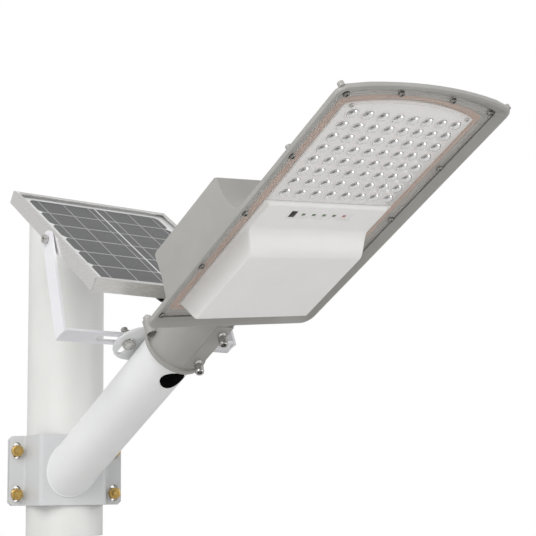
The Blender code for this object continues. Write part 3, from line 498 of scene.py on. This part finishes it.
def make_clamp():
    for node in ("clamp_front_plate", "clamp_rear_plate"):
        mesh = rounded_copy(node, 0.5 * MM, 2, 40)
        piece(node + "_pressed", mesh, CLAMP_PAINT, "arm", [node])
    number = 0
    for x in (-CLAMP_BOLT_X, CLAMP_BOLT_X):
        for z in CLAMP_BOLT_HEIGHTS:
            number += 1
            seat = bolt_frame(CLAMP, x, CLAMP_SEAT, z, (90, "X"))
            head = hex_body(M8_ACROSS, -5.3 * MM, 0, seat)
            shank = threaded(M8_RADIUS, -1 * MM, 28 * MM, seat, from_low=9 * MM)
            piece(f"clamp_hex_bolt_{number}", joined(head, shank), ZINC, "arm",
                  [f"clamp_bolt_{number}"])
            seat = bolt_frame(CLAMP, x, -CLAMP_SEAT, z, (90, "X"), (7 * number, "Z"))
            nut = hex_body(M8_ACROSS, 0.2 * MM, 6.3 * MM, seat, M8_BORE)
            rim = [(4.2 * MM, 0), (7.0 * MM, 0), (7.0 * MM, 0.6 * MM), (4.2 * MM, 0.9 * MM)]
            flange = lathe(rim, seat, 48)
            piece(f"clamp_hex_nut_{number}", joined(nut, flange), ZINC, "arm",
                  [f"clamp_nut_{number}"])


# ---- arm ----------------------------------------------------------------------------------------

CLAMP_FACE = 50.8 * MM
ARM_R = 30 * MM
WELD_STEPS = 96


def make_arm():
    pipe = rounded_copy("arm_tube", 0.4 * MM, 2, 40)
    piece("arm_pipe", pipe, ARM_PAINT, "arm", ["arm_tube"])
    plate = rounded_copy("arm_top_plate", 0.5 * MM, 2, 40)
    piece("arm_pad_plate", plate, ARM_PAINT, "arm", ["arm_top_plate"])
    to_clamp = CLAMP.inverted()
    path = []
    for i in range(WELD_STEPS):
        a = 2 * pi * i / WELD_STEPS
        start = ARM @ Vector((ARM_R * cos(a), 0, ARM_R * sin(a)))
        here = to_clamp @ start
        along = to_clamp.to_3x3() @ ARM_ALONG
        reach = (-CLAMP_FACE - 0.6 * MM - here.y) / along.y
        ripple = 0.12 * MM * sin(40 * a)
        path.append(start + ARM_ALONG * (reach + ripple))
    piece("arm_weld", tube(path, 0.9 * MM), ARM_PAINT, "arm", sharp=60)
    for side, name in ((-1, "left"), (1, "right")):
        path = [(side * 7.5 * MM, -y * MM, ARM_R + 0.1 * MM) for y in range(190, 237, 2)]
        bead = tube(path, 1.5 * MM, ARM, closed=False)
        piece(f"plate_weld_{name}", bead, ARM_PAINT, "arm", sharp=60)
    # Painted shade: the plug flush in the cable hole is painted near-black for the hole's dark inside.
    paint("cable_grommet", CABLE_HOLE_PAINTED_SHADE)


# ---- yoke and panel -----------------------------------------------------------------------------

YOKE_BOLT_X, YOKE_AT = 29 * MM, 214.5 * MM
YOKE_HEX, YOKE_NUT_SEAT = 12.9 * MM, 36.9 * MM


def make_yoke():
    piece("yoke_bar", rounded_copy("yoke", 0.45 * MM, 2, 30), YOKE_PAINT, "yoke", ["yoke"])
    for side, name in ((-1, "left"), (1, "right")):
        x = side * YOKE_BOLT_X
        seat = bolt_frame(ARM, x, -YOKE_AT, ARM_R, (9 + side * 6, "Z"))
        head = hex_body(YOKE_HEX, -5.3 * MM, -0.1 * MM, seat)
        ring = washer(4.3 * MM, 6.4 * MM, -0.6 * MM, 0, seat)
        shank = threaded(M8_RADIUS, -1 * MM, 20 * MM, seat, from_low=3 * MM)
        piece(f"yoke_hex_bolt_{name}", joined(head, ring, shank), STEEL, "arm",
              [f"yoke_bolt_{name}"])
        seat = bolt_frame(ARM, x, -YOKE_AT, YOKE_NUT_SEAT, (side * 11, "Z"))
        nut = hex_body(YOKE_HEX, 0.8 * MM, 6.5 * MM, seat, M8_BORE)
        ring = washer(4.3 * MM, 6.5 * MM, 0, 0.7 * MM, seat)
        piece(f"yoke_hex_nut_{name}", joined(nut, ring), STEEL, "arm",
              [f"yoke_nut_{name}"])


PANEL_TOP = 9.3 * MM
HALF_X, HALF_Y, RAIL_WALL = 104.6 * MM, 115 * MM, 1.8 * MM
CELL_ROWS, BUSBARS = 6, (0.14, 0.52, 0.90)


def cell_outline(low, high, chamfer, left_end, right_end):
    """A cell cut from a pseudo-square wafer: chamfered at the ends that were the wafer's corners."""
    (x0, y0), (x1, y1) = low, high
    points = []
    if left_end:
        points += [(x0, y1 - chamfer), (x0, y0 + chamfer), (x0 + chamfer, y0)]
    else:
        points += [(x0, y1), (x0, y0)]
    if right_end:
        points += [(x1 - chamfer, y0), (x1, y0 + chamfer), (x1, y1 - chamfer), (x1 - chamfer, y1)]
    else:
        points += [(x1, y0), (x1, y1)]
    if left_end:
        points += [(x0 + chamfer, y1)]
    return points


def make_panel():
    for side in ("lower", "upper", "left", "right"):
        node = "panel_rail_" + side
        rail = rounded_copy(node, 0.3 * MM, 2, 40)
        piece(node + "_extrusion", rail, ALUMINIUM, "panel", [node])
    paint("panel_glass", GLASS)
    low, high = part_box("panel_laminate")
    lip, glass, gap = 1.4 * MM, 2.2 * MM, 0.3 * MM
    top = PANEL_TOP - lip - gap - glass - gap
    x, y = HALF_X - RAIL_WALL, HALF_Y - RAIL_WALL
    sheet = box((-x, -y, top - 0.8 * MM), (x, y, top - 0.15 * MM), PANEL)
    piece("panel_backsheet", sheet, BACKSHEET, "panel", ["panel_laminate"])
    cells, lines = bmesh.new(), []
    edge_x, edge_y, gap_x, gap_y = 89 * MM, 104 * MM, 2.2 * MM, 1.3 * MM
    width = edge_x - gap_x / 2
    height = (2 * edge_y - (CELL_ROWS - 1) * gap_y) / CELL_ROWS
    for row in range(CELL_ROWS):
        y0 = -edge_y + row * (height + gap_y)
        for column in range(2):
            x0 = -edge_x if column == 0 else gap_x / 2
            outline = cell_outline((x0, y0), (x0 + width, y0 + height), 4.5 * MM, column == 0, column == 1)
            corners = [cells.verts.new((px, py, top - 0.12 * MM)) for px, py in outline]
            grown = bmesh.ops.extrude_face_region(cells, geom=[cells.faces.new(corners)])
            tops = [item for item in grown["geom"] if isinstance(item, bmesh.types.BMVert)]
            bmesh.ops.translate(cells, verts=tops, vec=(0, 0, 0.08 * MM))
            for share in BUSBARS:
                centre = x0 + width * share
                lines.append(box((centre - 0.35 * MM, y0 - gap_y, top - 0.1 * MM),
                                 (centre + 0.35 * MM, y0 + height + gap_y, top - 0.01 * MM), PANEL))
    bmesh.ops.recalc_face_normals(cells, faces=cells.faces)
    cells.transform(PANEL)
    piece("panel_cells", cells, CELLS, "panel")
    piece("panel_busbars", joined(*lines), SILVER, "panel")
    for node in ("junction_box", "junction_gland"):
        moulding = rounded_copy(node, 0.6 * MM, 2, 40)
        piece(node + "_moulding", moulding, BLACK, "panel", [node])
    for side, name in ((-1, "left"), (1, "right")):
        seat = bolt_frame(PANEL, side * (HALF_X + 4.5 * MM), 0, 0, (-side * 90, "Y"))
        screw = cap_screw(5 * MM, 4 * MM, 2.45 * MM, 15 * MM, 2.2 * MM, seat)
        piece(f"pivot_screw_{name}", screw, STEEL, "panel", [f"pivot_bolt_{name}"])
        seat = bolt_frame(PANEL, side * (HALF_X - 1.7 * MM), 0, 0, (-side * 90, "Y"), (30, "Z"))
        nut = hex_body(8 * MM, 0.05 * MM, 3.95 * MM, seat, 2.6 * MM)
        piece(f"pivot_hex_nut_{name}", nut, STEEL, "panel", [f"pivot_nut_{name}"])


def cap_screw(head_r, head, shank_r, length, socket, matrix, knurls=36):
    """A socket head cap screw: knurled head below the origin, threaded shank above it."""
    shape = bmesh.new()
    steps = knurls * 2
    deep = head * 0.55
    rows = [
        (head_r * 0.9, 0, 0),
        (head_r, -head * 0.08, 1),
        (head_r, -head * 0.82, 1),
        (head_r * 0.97, -head * 0.93, 0),
        (head_r * 0.9, -head, 0),
        (socket * 1.22, -head, 0),
    ]
    rings = []
    for radius, height, knurled in rows:
        ring = []
        for i in range(steps):
            a = 2 * pi * i / steps
            r = radius * (1 - 0.03 * (i % 2) * knurled)
            ring.append(shape.verts.new((r * cos(a), r * sin(a), height)))
        rings.append(ring)
    for height in (-head + 0.3 * MM, -head + deep):
        ring = []
        for i in range(steps):
            a = 2 * pi * i / steps
            r = socket / cos((a + pi / 6) % (pi / 3) - pi / 6)
            ring.append(shape.verts.new((r * cos(a), r * sin(a), height)))
        rings.append(ring)
    for first, second in zip(rings, rings[1:]):
        for i in range(steps):
            j = (i + 1) % steps
            shape.faces.new([first[i], first[j], second[j], second[i]])
    shape.faces.new(rings[0])
    shape.faces.new(rings[-1])
    bmesh.ops.recalc_face_normals(shape, faces=shape.faces)
    shape.transform(matrix)
    return joined(shape, threaded(shank_r, -0.2 * MM, length, matrix, 1.0 * MM, 32))


# ---- lamp head ----------------------------------------------------------------------------------

HEAD_BACK, HEAD_FRONT = 344 * MM, 697.5 * MM
HALF_BACK, HALF_FRONT, SAG = 110 * MM, 112.8 * MM, 12 * MM
COVER_BOTTOM, COVER_T = -28.8 * MM, 2.6 * MM
RIM_BORDER, COVER_OPENING, SCREW_INSET = 11 * MM, 16.7 * MM, 3 * MM
FLANGE_BOTTOM = -30.4 * MM
OPENING = RIM_BORDER + COVER_OPENING + 0.3 * MM
OPENING_AHEAD = 3 * MM
LENS_SPLIT = 533 * MM
CORNER_SCREW_IN, FRONT_SCREW_AHEAD, FRONT_SCREW_X = 3 * MM, 8.4 * MM, 34 * MM


def arc(centre, radius, start, end, steps):
    """Points on a circle from one angle to another."""
    angles = [start + (end - start) * i / steps for i in range(steps + 1)]
    return [(centre[0] + radius * cos(a), centre[1] + radius * sin(a)) for a in angles]


def head_outline(inset, corner, ahead=0, steps=24):
    """The head seen square to its lenses, drawn in by an inset; points are (x, -at)."""
    back, front = HEAD_BACK + inset, HEAD_FRONT - inset + ahead
    half_back, half_front = HALF_BACK - inset, HALF_FRONT - inset
    arch = (half_front**2 + SAG**2) / (2 * SAG)
    lean = atan((half_front - half_back) / (front - SAG - back))
    swing = atan(half_front / (arch - SAG))
    trim = corner / arch * 1.1
    top = arc((0, front - arch), arch, pi / 2 - swing + trim, pi / 2 + swing - trim, steps)
    right_corner = arc((half_front - corner, front - SAG - corner * 0.9), corner, 0, radians(65), 6)
    left_corner = [(-x, y) for x, y in reversed(right_corner)]
    foot = max(corner, 3 * MM)
    left_back = arc((foot - half_back, back + foot), foot, pi - lean, 3 * pi / 2, 6)
    right_back = [(-x, y) for x, y in reversed(left_back)]
    return [(x, -y) for x, y in right_corner + top[1:-1] + left_corner + left_back + right_back]


def half_width(at):
    """The head's half width at a distance along it."""
    return HALF_BACK + (HALF_FRONT - HALF_BACK) * (at - HEAD_BACK) / (HEAD_FRONT - HEAD_BACK)


def screw_places():
    """Cover screws: five along each side, and two across the front between the corners."""
    back = HEAD_BACK + RIM_BORDER + SCREW_INSET
    front = HEAD_FRONT - SAG - RIM_BORDER - 2 * MM
    places = []
    for step in range(5):
        at = back + (front - back) * step / 4
        half = half_width(at) - RIM_BORDER - SCREW_INSET - MM
        half -= CORNER_SCREW_IN if step == 4 else 0
        places += [(-half, at), (half, at)]
    return places + [(x, front + FRONT_SCREW_AHEAD) for x in (-FRONT_SCREW_X, FRONT_SCREW_X)]


def slab(outline, low, high, matrix):
    """A flat outline made into a plate between two levels."""
    shape = bmesh.new()
    face = shape.faces.new([shape.verts.new((x, y, low)) for x, y in outline])
    grown = bmesh.ops.extrude_face_region(shape, geom=[face])
    tops = [item for item in grown["geom"] if isinstance(item, bmesh.types.BMVert)]
    bmesh.ops.translate(shape, verts=tops, vec=(0, 0, high - low))
    bmesh.ops.recalc_face_normals(shape, faces=shape.faces)
    shape.transform(matrix)
    return shape


NECK_SCREW_X, NECK_SCREW_AT, NECK_SCREW_SEAT = 14.8 * MM, (273 * MM, 323 * MM), -35.5 * MM
LUG_X, LUG_AT, LUG_SEAT, LUG_TOP = -36.2 * MM, 268 * MM, 11.7 * MM, 20.5 * MM


def make_casting():
    casting = rounded_copy("lamp_housing", 0.7 * MM, 3, 35)
    piece("housing_casting", casting, CASTING, "head", ["lamp_housing"])
    for number, at in enumerate(NECK_SCREW_AT, 1):
        seat = bolt_frame(NECK, NECK_SCREW_X, -at, NECK_SCREW_SEAT)
        screw = cap_screw(4.9 * MM, 10.5 * MM, 3.85 * MM, 6.8 * MM, 2.8 * MM, seat)
        piece(f"neck_cap_screw_{number}", screw, STEEL, "head", [f"neck_bolt_{number}"])
    seat = bolt_frame(ARM, LUG_X, -LUG_AT, LUG_SEAT)
    screw = cap_screw(4.2 * MM, 5 * MM, 2.45 * MM, 16.2 * MM, 2 * MM, seat)
    top = bolt_frame(ARM, LUG_X, -LUG_AT, LUG_TOP)
    nut = hex_body(8 * MM, 0.1 * MM, 5.2 * MM, top, 2.6 * MM)
    piece("neck_cap_screw_3", joined(screw, nut), STEEL, "head", ["neck_bolt_3"])


RIDGES = ((13.5 * MM, 0.35 * MM), (16.2 * MM, 0.35 * MM), (20.2 * MM, 0.4 * MM), (27.0 * MM, 0.5 * MM))
CORD_INSETS, CORD_LEVEL = (21.4 * MM, 25.9 * MM), -27.2 * MM


def make_cover():
    flange = rounded_copy("optic_cover", 0.35 * MM, 2, 40)
    piece("cover_flange", flange, CLEAR, "head", ["optic_cover"])
    ridge = []
    for inset, radius in RIDGES:
        path = [(x, y, FLANGE_BOTTOM - 0.1 * MM) for x, y in head_outline(inset, 5 * MM)]
        ridge.append(tube(path, radius, HEAD, 6))
    piece("cover_ridges", joined(*ridge), CLEAR, "head")
    # Painted shade: a thin black bead along the flange's edge stands for the dark gap between the cover
    # flange and the casting.
    path = [(x, y, FLANGE_BOTTOM + 0.3 * MM) for x, y in head_outline(RIM_BORDER - 0.2 * MM, 6 * MM)]
    piece("cover_edge_gap_painted_shade", tube(path, 0.42 * MM, HEAD, 6), BLACK, "head", sharp=80)
    seal = []
    for inset in CORD_INSETS:
        path = [(x, y, CORD_LEVEL) for x, y in head_outline(inset, 4.5 * MM)]
        seal.append(tube(path, 0.95 * MM, HEAD, 8))
    band = rounded_copy("gasket", 0.4 * MM, 2, 40)
    piece("gasket_band", band, SILICONE, "head", ["gasket"])
    piece("gasket_cords", joined(*seal), CORD, "head", sharp=80)
    for number, (x, at) in enumerate(screw_places(), 1):
        seat = bolt_frame(HEAD, x, -at, FLANGE_BOTTOM - 0.3 * MM, (37 * number, "Z"))
        screw = pan_screw(3.2 * MM, 2.4 * MM, 1.65 * MM, 6.2 * MM, seat)
        piece(f"cover_pan_screw_{number}", screw, DARK_STEEL, "head",
              [f"cover_screw_{number}"])


def pan_screw(head_r, head, shank_r, length, matrix):
    """A pan head with a cross recess."""
    profile = [(0, -head), (head_r * 0.35, -head), (head_r * 0.75, -head * 0.86)]
    profile += [(head_r * 0.95, -head * 0.5), (head_r, -head * 0.15), (head_r, 0), (shank_r, 0)]
    profile += [(shank_r, length - MM), (shank_r * 0.3, length), (0, length)]
    body = bpy.data.meshes.new("screw")
    shape = lathe(profile, WORLD, 24, closed=False)
    shape.to_mesh(body)
    shape.free()
    cross = bmesh.new()
    arm, half, deep = head_r * 0.55, head_r * 0.13, -head * 0.35
    outline = [(half, half), (arm, half), (arm, -half), (half, -half), (half, -arm), (-half, -arm)]
    outline += [(-half, -half), (-arm, -half), (-arm, half), (-half, half), (-half, arm), (half, arm)]
    face = cross.faces.new([cross.verts.new((x, y, -head * 1.5)) for x, y in outline])
    grown = bmesh.ops.extrude_face_region(cross, geom=[face])
    tops = [item for item in grown["geom"] if isinstance(item, bmesh.types.BMVert)]
    bmesh.ops.translate(cross, verts=tops, vec=(0, 0, deep + head * 1.5))
    bmesh.ops.recalc_face_normals(cross, faces=cross.faces)
    mesh = bpy.data.meshes.new("cross")
    cross.to_mesh(mesh)
    cross.free()
    cutter = bpy.data.objects.new("cross", mesh)
    bpy.context.scene.collection.objects.link(cutter)
    made = applied(body, ("BOOLEAN", {"object": cutter, "operation": "DIFFERENCE"}))
    bpy.data.objects.remove(cutter)
    made.transform(matrix)
    return made


LENS_ROWS = 8
LENS_PITCH = (19.34 * MM, 15.04 * MM)
LENS_CENTRE = 597.5 * MM
LENS_R, LENS_RISE = 5.6 * MM, 3.6 * MM
LENS_OVAL = Matrix.Diagonal((1.15, 0.95, -1, 1))  # and pointing down
PLATE_SCREWS = ((76 * MM, 659 * MM), (-76 * MM, 659 * MM))


def make_optics():
    cut = -(LENS_SPLIT + 0.3 * MM)
    outline = [(x, y) for x, y in head_outline(OPENING, 4 * MM, OPENING_AHEAD) if y < cut]
    half = half_width(LENS_SPLIT) - OPENING
    outline += [(-half, cut), (half, cut)]
    plate = slab(outline, COVER_BOTTOM, COVER_BOTTOM + COVER_T, HEAD)
    mesh = bpy.data.meshes.new("lens_plate_sheet")
    plate.to_mesh(mesh)
    plate.free()
    edge = {"width": 0.5 * MM, "segments": 2, "limit_method": "ANGLE", "angle_limit": radians(50)}
    piece("lens_sheet", applied(mesh, ("BEVEL", edge)), PLATE, "head", ["lens_plate"])
    domes, collars, chips = [], [], []
    middle = (LENS_ROWS - 1) / 2
    quarter = [pi / 2 * k / 6 for k in range(6)]
    for i in range(LENS_ROWS):
        for j in range(LENS_ROWS):
            x = (i - middle) * LENS_PITCH[0]
            y = -(LENS_CENTRE + (j - middle) * LENS_PITCH[1])
            place = HEAD @ move(x, y, COVER_BOTTOM) @ LENS_OVAL
            dome = [(LENS_R * cos(a), 0.1 * MM + LENS_RISE * sin(a)) for a in quarter]
            dome += [(0, 0.1 * MM + LENS_RISE)]
            domes.append(lathe([(0, 0.1 * MM)] + dome, place, 20, closed=False))
            ring = [(5.7 * MM, 0.02 * MM), (7.0 * MM, 0.02 * MM)]
            ring += [(6.8 * MM, 0.45 * MM), (5.9 * MM, 0.55 * MM)]
            collars.append(lathe(ring, place, 24))
            chip = [(0, 0.01 * MM), (2.3 * MM, 0.01 * MM), (1.9 * MM, 0.08 * MM), (0, 0.09 * MM)]
            chips.append(lathe(chip, place, 12, closed=False))
    for shape in domes + collars + chips:  # placed by a mirroring matrix, which leaves them inside out
        bmesh.ops.recalc_face_normals(shape, faces=shape.faces)
    piece("lens_domes", joined(*domes), LENS, "head", sharp=50)
    piece("lens_collars", joined(*collars), PLATE, "head", sharp=50)
    piece("led_chips", joined(*chips), LED_DARK, "head", sharp=50)
    for number, (x, at) in enumerate(PLATE_SCREWS, 1):
        seat = bolt_frame(HEAD, x, -at, COVER_BOTTOM - 0.1 * MM, (20 * number, "Z"))
        screw = pan_screw(2.4 * MM, 1.5 * MM, 1.2 * MM, 2.2 * MM, seat)
        piece(f"plate_screw_{number}", screw, STEEL, "head")


def smooth(value, low, high):
    """Eases from 0 at low to 1 at high."""
    share = min(1, max(0, (value - low) / (high - low)))
    return share * share * (3 - 2 * share)


INDICATOR_AT, INDICATOR_FIRST, INDICATOR_STEP = 518.2 * MM, -39.6 * MM, 13.4 * MM
LEDGE_DEPTH, LEDGE_ENDS = 2.7 * MM, (532 * MM, 528.5 * MM)
RAMP_DEPTH, RAMP_ENDS = 19.0 * MM, (498 * MM, 475 * MM)
ROUND_BACK_FROM, ROUND_BACK = 378.5 * MM, 5.8 * MM


def bulge_depth(x, at):
    """How far the battery cover stands below its flat edge."""
    high = smooth(at, *RAMP_ENDS)
    depth = LEDGE_DEPTH * smooth(at, *LEDGE_ENDS) + RAMP_DEPTH * high
    round_back = min(1, max(0, (ROUND_BACK_FROM - at) / ROUND_BACK))
    back = (1 - round_back**2) ** 0.5
    inner, outer = (77.4 - 4.4 * high) * MM, (80.8 + 1.4 * high) * MM
    return depth * back * (1 - smooth(abs(x), inner, outer))


def stations(*spans):
    """Places along a line: each span is (start, end, steps)."""
    places = [spans[0][0]]
    for start, end, steps in spans:
        places += [start + (end - start) * (i + 1) / steps for i in range(steps)]
    return places


def make_bulge():
    shape = bmesh.new()
    back, front = HEAD_BACK + OPENING, LENS_SPLIT - 0.3 * MM
    along = stations((back, back + 7 * MM, 18), (back + 7 * MM, 473 * MM, 16), (473 * MM, 500 * MM, 30),
                     (500 * MM, 527 * MM, 8), (527 * MM, front, 12))
    across = stations((-1, -0.86, 22), (-0.86, 0.86, 36), (0.86, 1, 22))
    columns = len(across) - 1
    grid = []
    for at in along:
        half = half_width(at) - OPENING
        line = []
        for t in across:
            x = half * t
            line.append(shape.verts.new((x, -at, COVER_BOTTOM - bulge_depth(x, at))))
        grid.append(line)
    for low, high in zip(grid, grid[1:]):
        for j in range(columns):
            shape.faces.new([low[j], low[j + 1], high[j + 1], high[j]])
    shape.normal_update()
    if sum(face.normal.z for face in shape.faces) > 0:
        bmesh.ops.reverse_faces(shape, faces=shape.faces)
    mesh = bpy.data.meshes.new("battery_cover")
    shape.to_mesh(mesh)
    shape.free()
    wall = applied(mesh, ("SOLIDIFY", {"thickness": 2.0 * MM, "offset": -1.0, "use_even_offset": True}))
    wall.transform(HEAD)
    piece("battery_cover_moulding", wall, FROSTED, "head", ["battery_cover"], sharp=60)
    recess = []
    marks = {"dark": [], "green": [], "red": []}
    at = INDICATOR_AT
    level = COVER_BOTTOM - bulge_depth(0, at)
    for k, kind in enumerate(("dark", "green", "green", "green", "green", "red")):
        x = INDICATOR_FIRST + INDICATOR_STEP * k
        half_x, half_y = (3.6 * MM, 4.2 * MM) if kind == "dark" else (2.2 * MM, 1.5 * MM)
        low = (x - half_x, -at - half_y, level - 0.25 * MM)
        high = (x + half_x, -at + half_y, level + 0.4 * MM)
        marks[kind].append(box(low, high, HEAD, 0.12 * MM))
        if kind != "dark":
            low = (x - 4.2 * MM, -at - 3.6 * MM, level - 0.12 * MM)
            high = (x + 4.2 * MM, -at + 3.6 * MM, level)
            recess.append(box(low, high, HEAD, 0.05 * MM))
    low = (-46.6 * MM, -524.5 * MM, level - 0.06 * MM)
    frame_plate = box(low, (38.6 * MM, -511.5 * MM, level + 0.2 * MM), HEAD, 0.03 * MM)
    panel = joined(frame_plate, *recess)
    piece("indicator_panel", panel, PLATE, "head", ["indicator_window"])
    piece("indicator_dark", joined(*marks["dark"]), BLACK, "head")
    piece("indicator_green", joined(*marks["green"]), GREEN_MARK, "head")
    piece("indicator_red", joined(*marks["red"]), RED_MARK, "head")


make_pole()
make_clamp()
make_arm()
make_yoke()
make_panel()
make_casting()
make_cover()
make_optics()
make_bulge()
for hidden, finish in (("led_board", WHITE_BOARD), ("status_board", GREEN_BOARD),
                       ("controller_board", GREEN_BOARD), ("battery_pack", WRAP)):
    paint(hidden, finish)

# ---- stage, light and camera --------------------------------------------------------------------


def make_stage():
    shape = bmesh.new()
    bmesh.ops.create_circle(shape, cap_ends=True, segments=96, radius=30)
    bmesh.ops.translate(shape, verts=shape.verts, vec=(0, 0, POLE_LOW - 0.5 * MM))
    mesh = bpy.data.meshes.new("floor")
    shape.to_mesh(mesh)
    shape.free()
    floor = bpy.data.objects.new("floor", mesh)
    bpy.context.scene.collection.objects.link(floor)
    made = Shader("floor_paper", (0.70, 0.70, 0.695), 0.95)
    made.vary_colour(made.noise(3), 0.004)
    seen, path = made.node("ShaderNodeEmission"), made.node("ShaderNodeLightPath")
    mix, out = made.node("ShaderNodeMixShader"), made.nodes["Material Output"]
    made.links.new(path.outputs["Is Camera Ray"], mix.inputs["Fac"])
    made.links.new(made.body.outputs["BSDF"], mix.inputs[1])
    made.links.new(seen.outputs["Emission"], mix.inputs[2])
    made.links.new(mix.outputs["Shader"], out.inputs["Surface"])
    mesh.materials.append(made.material)


def make_world():
    world = bpy.data.worlds.new("studio")
    bpy.context.scene.world = world
    world.use_nodes = True
    nodes, links = world.node_tree.nodes, world.node_tree.links
    nodes.clear()
    seen, fill = nodes.new("ShaderNodeBackground"), nodes.new("ShaderNodeBackground")
    seen.inputs["Color"].default_value = (1, 1, 1, 1)
    seen.inputs["Strength"].default_value = 1.0
    fill.inputs["Color"].default_value = (1, 1, 1, 1)
    fill.inputs["Strength"].default_value = 0.64
    path, mix = nodes.new("ShaderNodeLightPath"), nodes.new("ShaderNodeMixShader")
    out = nodes.new("ShaderNodeOutputWorld")
    links.new(path.outputs["Is Camera Ray"], mix.inputs["Fac"])
    links.new(fill.outputs["Background"], mix.inputs[1])
    links.new(seen.outputs["Background"], mix.inputs[2])
    links.new(mix.outputs["Shader"], out.inputs["Surface"])


def area_light(name, location, target, size, power, colour=(1, 1, 1)):
    data = bpy.data.lights.new(name, "AREA")
    data.shape = "RECTANGLE"
    data.size, data.size_y = size
    data.energy = power
    data.color = colour
    light = bpy.data.objects.new(name, data)
    bpy.context.scene.collection.objects.link(light)
    light.location = location
    light.rotation_mode = "QUATERNION"
    light.rotation_quaternion = (Vector(target) - Vector(location)).to_track_quat("-Z", "Y")
    return light


def make_camera():
    data = bpy.data.cameras.new("camera")
    camera = bpy.data.objects.new("camera", data)
    bpy.context.scene.collection.objects.link(camera)
    data.sensor_width = 36
    data.lens = 86.526
    data.shift_y = 0.1
    data.clip_start, data.clip_end = 0.05, 100
    camera.location = (-0.7922, -1.4257, 0.0414)
    camera.rotation_mode = "QUATERNION"
    camera.rotation_quaternion = Quaternion((0.619834, 0.714186, -0.241164, -0.218139))
    bpy.context.scene.camera = camera


make_stage()
make_world()
area_light("key", (-1.9, -1.5, 1.7), (0, -0.3, 0.25), (1.6, 1.6), 34)
area_light("fill", (1.2, -1.9, 0.5), (0, -0.35, 0.3), (1.2, 1.2), 7)
area_light("low", (-1.8, -1.1, -0.1), (0, -0.5, 0.35), (0.8, 0.8), 6)
make_camera()
bpy.context.scene.view_settings.view_transform = "Standard"
